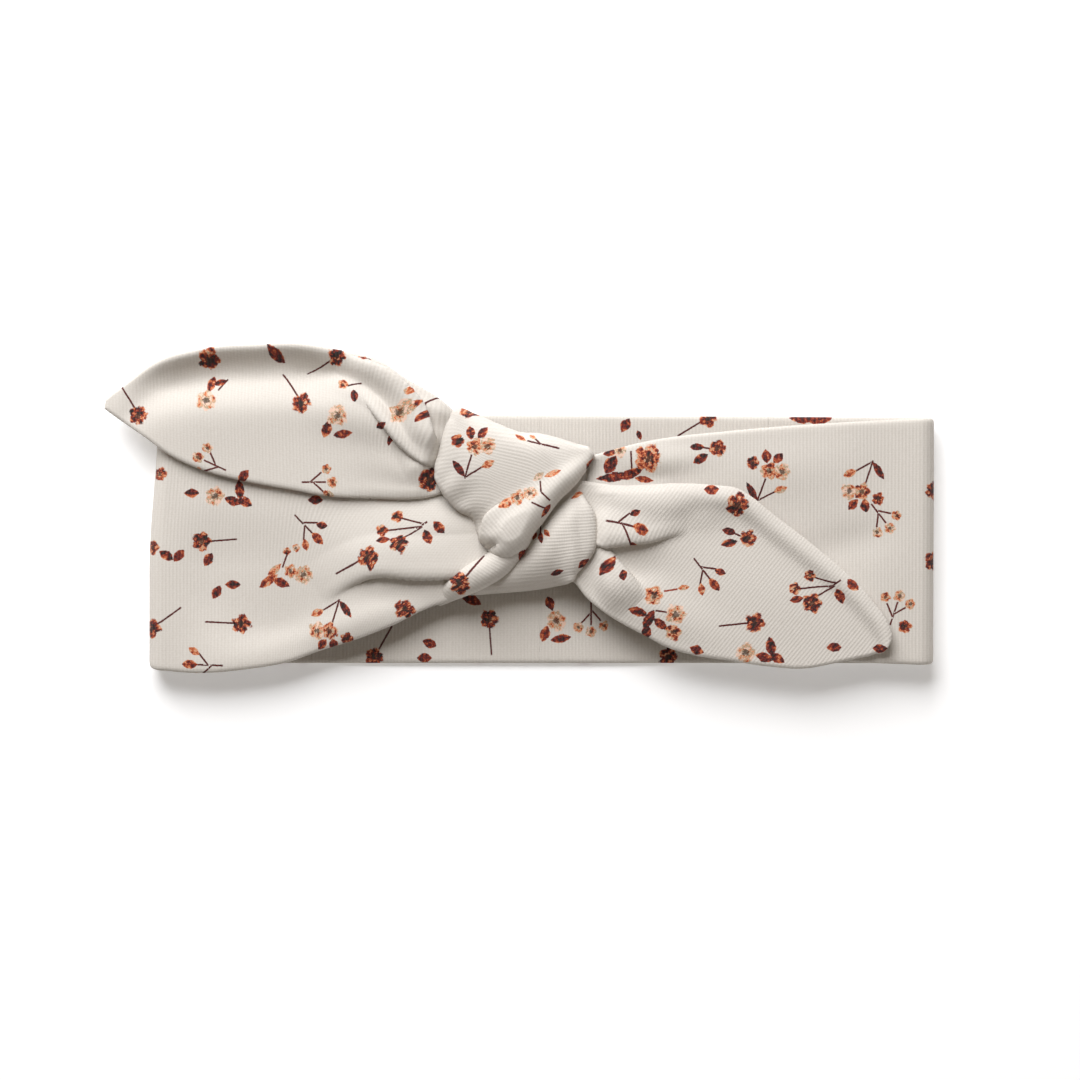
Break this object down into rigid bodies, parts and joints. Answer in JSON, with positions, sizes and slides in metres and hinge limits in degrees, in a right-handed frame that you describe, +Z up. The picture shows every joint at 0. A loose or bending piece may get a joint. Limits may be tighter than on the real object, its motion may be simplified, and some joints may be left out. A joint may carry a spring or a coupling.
{
  "type": "knotted headband",
  "caption": "Flat-lying baby headband: a two-ply printed rib jersey strip tied in a knot, making a head loop with two leaf-shaped tails.",
  "frame": {"origin": "on the underside of the back length, where it rests on the table, at the middle of the loop", "axes": "+X along the band towards the fold on the right tail's side, +Y across the band towards the side the left tail points to, +Z up from the table to the knot"},
  "size_m": [0.215, 0.0791, 0.018],
  "materials": {
    "printed_jersey": "cream rib jersey with a rust and orange flower print, matt",
    "lining_jersey": "the same printed cream rib jersey, matt",
    "sewing_thread": "cream polyester sewing thread"
  },
  "bodies": {
    "back_center": {"back_center_face": "printed_jersey", "back_center_lining": "lining_jersey", "back_center_edges": "printed_jersey"},
    "back_left": {"back_left_face": "printed_jersey", "back_left_lining": "lining_jersey", "back_left_edges": "printed_jersey", "left_fold_back_half": "printed_jersey", "closing_stitches": "sewing_thread"},
    "back_right": {"back_right_face": "printed_jersey", "back_right_lining": "lining_jersey", "back_right_edges": "printed_jersey", "right_fold_back_half": "printed_jersey"},
    "front_left": {"front_left_face": "printed_jersey", "front_left_lining": "lining_jersey", "front_left_edges": "printed_jersey", "left_fold_front_half": "printed_jersey"},
    "front_right": {"front_right_face": "printed_jersey", "front_right_lining": "lining_jersey", "front_right_edges": "printed_jersey", "right_fold_front_half": "printed_jersey"},
    "knot": {"knot_core": "printed_jersey", "knot_over_wrap": "printed_jersey", "knot_under_wrap": "printed_jersey"},
    "left_tail": {"left_tail_face": "printed_jersey", "left_tail_lining": "lining_jersey", "left_tail_edge": "printed_jersey"},
    "right_tail": {"right_tail_face": "printed_jersey", "right_tail_lining": "lining_jersey", "right_tail_edge": "printed_jersey"}
  },
  "joints": [
    {"name": "loop_open", "type": "hinge", "parent": "back_center", "child": "back_left", "pos_m": [-0.015, 0, 0.0017], "axis": [0, 1, 0], "range_deg": [0, 45]},
    {"name": "right_back_bend", "type": "hinge", "parent": "back_center", "child": "back_right", "pos_m": [0.015, 0, 0.0017], "axis": [0, -1, 0], "range_deg": [0, 45]},
    {"name": "left_fold_open", "type": "hinge", "parent": "back_left", "child": "front_left", "pos_m": [-0.102, 0, 0.0041], "axis": [0, -1, 0], "range_deg": [0, 90]},
    {"name": "right_fold_open", "type": "hinge", "parent": "back_right", "child": "front_right", "pos_m": [0.102, 0, 0.0041], "axis": [0, 1, 0], "range_deg": [0, 90]},
    {"name": "knot_level", "type": "hinge", "parent": "front_left", "child": "knot", "pos_m": [-0.015, 0, 0.0065], "axis": [0, 1, 0], "range_deg": [0, 45]},
    {"name": "left_tail_lift", "type": "hinge", "parent": "knot", "child": "left_tail", "pos_m": [-0.0272, 0.0229, 0.0103], "axis": [0.1736, 0.9848, 0], "range_deg": [0, 80]},
    {"name": "right_tail_lift", "type": "hinge", "parent": "knot", "child": "right_tail", "pos_m": [0.0163, 0, 0.0103], "axis": [-0.342, -0.9397, 0], "range_deg": [0, 80]}
  ],
  "couplings": [
    {"joint": "right_back_bend", "follows": "loop_open", "ratio": 1},
    {"joint": "left_fold_open", "follows": "loop_open", "ratio": 2},
    {"joint": "right_fold_open", "follows": "loop_open", "ratio": 2},
    {"joint": "knot_level", "follows": "loop_open", "ratio": 1}
  ]
}
